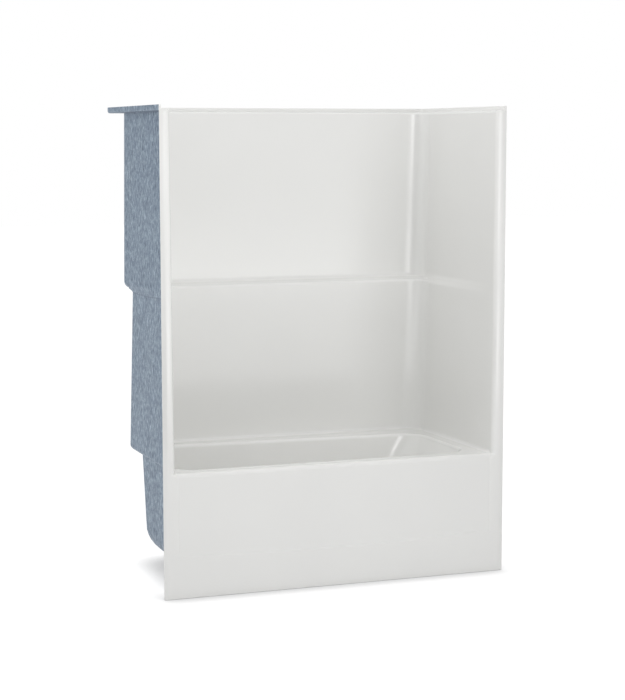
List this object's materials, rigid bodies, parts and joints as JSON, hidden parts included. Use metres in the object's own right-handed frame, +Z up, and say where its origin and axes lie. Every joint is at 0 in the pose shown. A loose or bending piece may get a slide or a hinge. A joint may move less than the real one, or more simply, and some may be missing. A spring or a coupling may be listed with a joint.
{
  "type": "alcove tub and shower unit",
  "caption": "One-piece moulded alcove bathtub and shower: surround walls with a mid-height ledge, tub with apron and sloped backrest, nailing flange, laminate backing.",
  "frame": {"origin": "on the floor under the middle of the unit's width and depth", "axes": "+X to the right seen from the front, +Y from the open front to the back wall, +Z up"},
  "size_m": [1.524, 0.896, 2.01],
  "materials": {
    "skin": "glossy white moulded acrylic or gel coat",
    "laminate": "rough blue-grey chopped-fibre laminate",
    "board": "unfinished particle board",
    "timber": "planed softwood, unfinished"
  },
  "bodies": {
    "root": {"acrylic_skin": "skin", "apron_rail": "timber", "base_board": "board", "foot_block_1": "timber", "foot_block_2": "timber", "foot_block_3": "timber", "laminate_apron": "laminate", "laminate_basin_back": "laminate", "laminate_basin_backrest": "laminate", "laminate_basin_corner_back_left": "laminate", "laminate_basin_corner_back_right": "laminate", "laminate_basin_corner_front_left": "laminate", "laminate_basin_corner_front_right": "laminate", "laminate_basin_floor": "laminate", "laminate_basin_front": "laminate", "laminate_basin_left_end": "laminate", "laminate_column_left": "laminate", "laminate_column_right": "laminate", "laminate_flange_back": "laminate", "laminate_flange_corner_left": "laminate", "laminate_flange_corner_right": "laminate", "laminate_flange_left": "laminate", "laminate_flange_right": "laminate", "laminate_lower_corner_left": "laminate", "laminate_lower_corner_right": "laminate", "laminate_lower_wall_back": "laminate", "laminate_lower_wall_left": "laminate", "laminate_lower_wall_right": "laminate", "laminate_upper_corner_left": "laminate", "laminate_upper_corner_right": "laminate", "laminate_upper_wall_back": "laminate", "laminate_upper_wall_left": "laminate", "laminate_upper_wall_right": "laminate", "lower_back_batten": "timber", "rim_post_1": "timber", "rim_post_2": "timber", "rim_post_3": "timber", "upper_back_batten": "timber"}
  },
  "joints": []
}
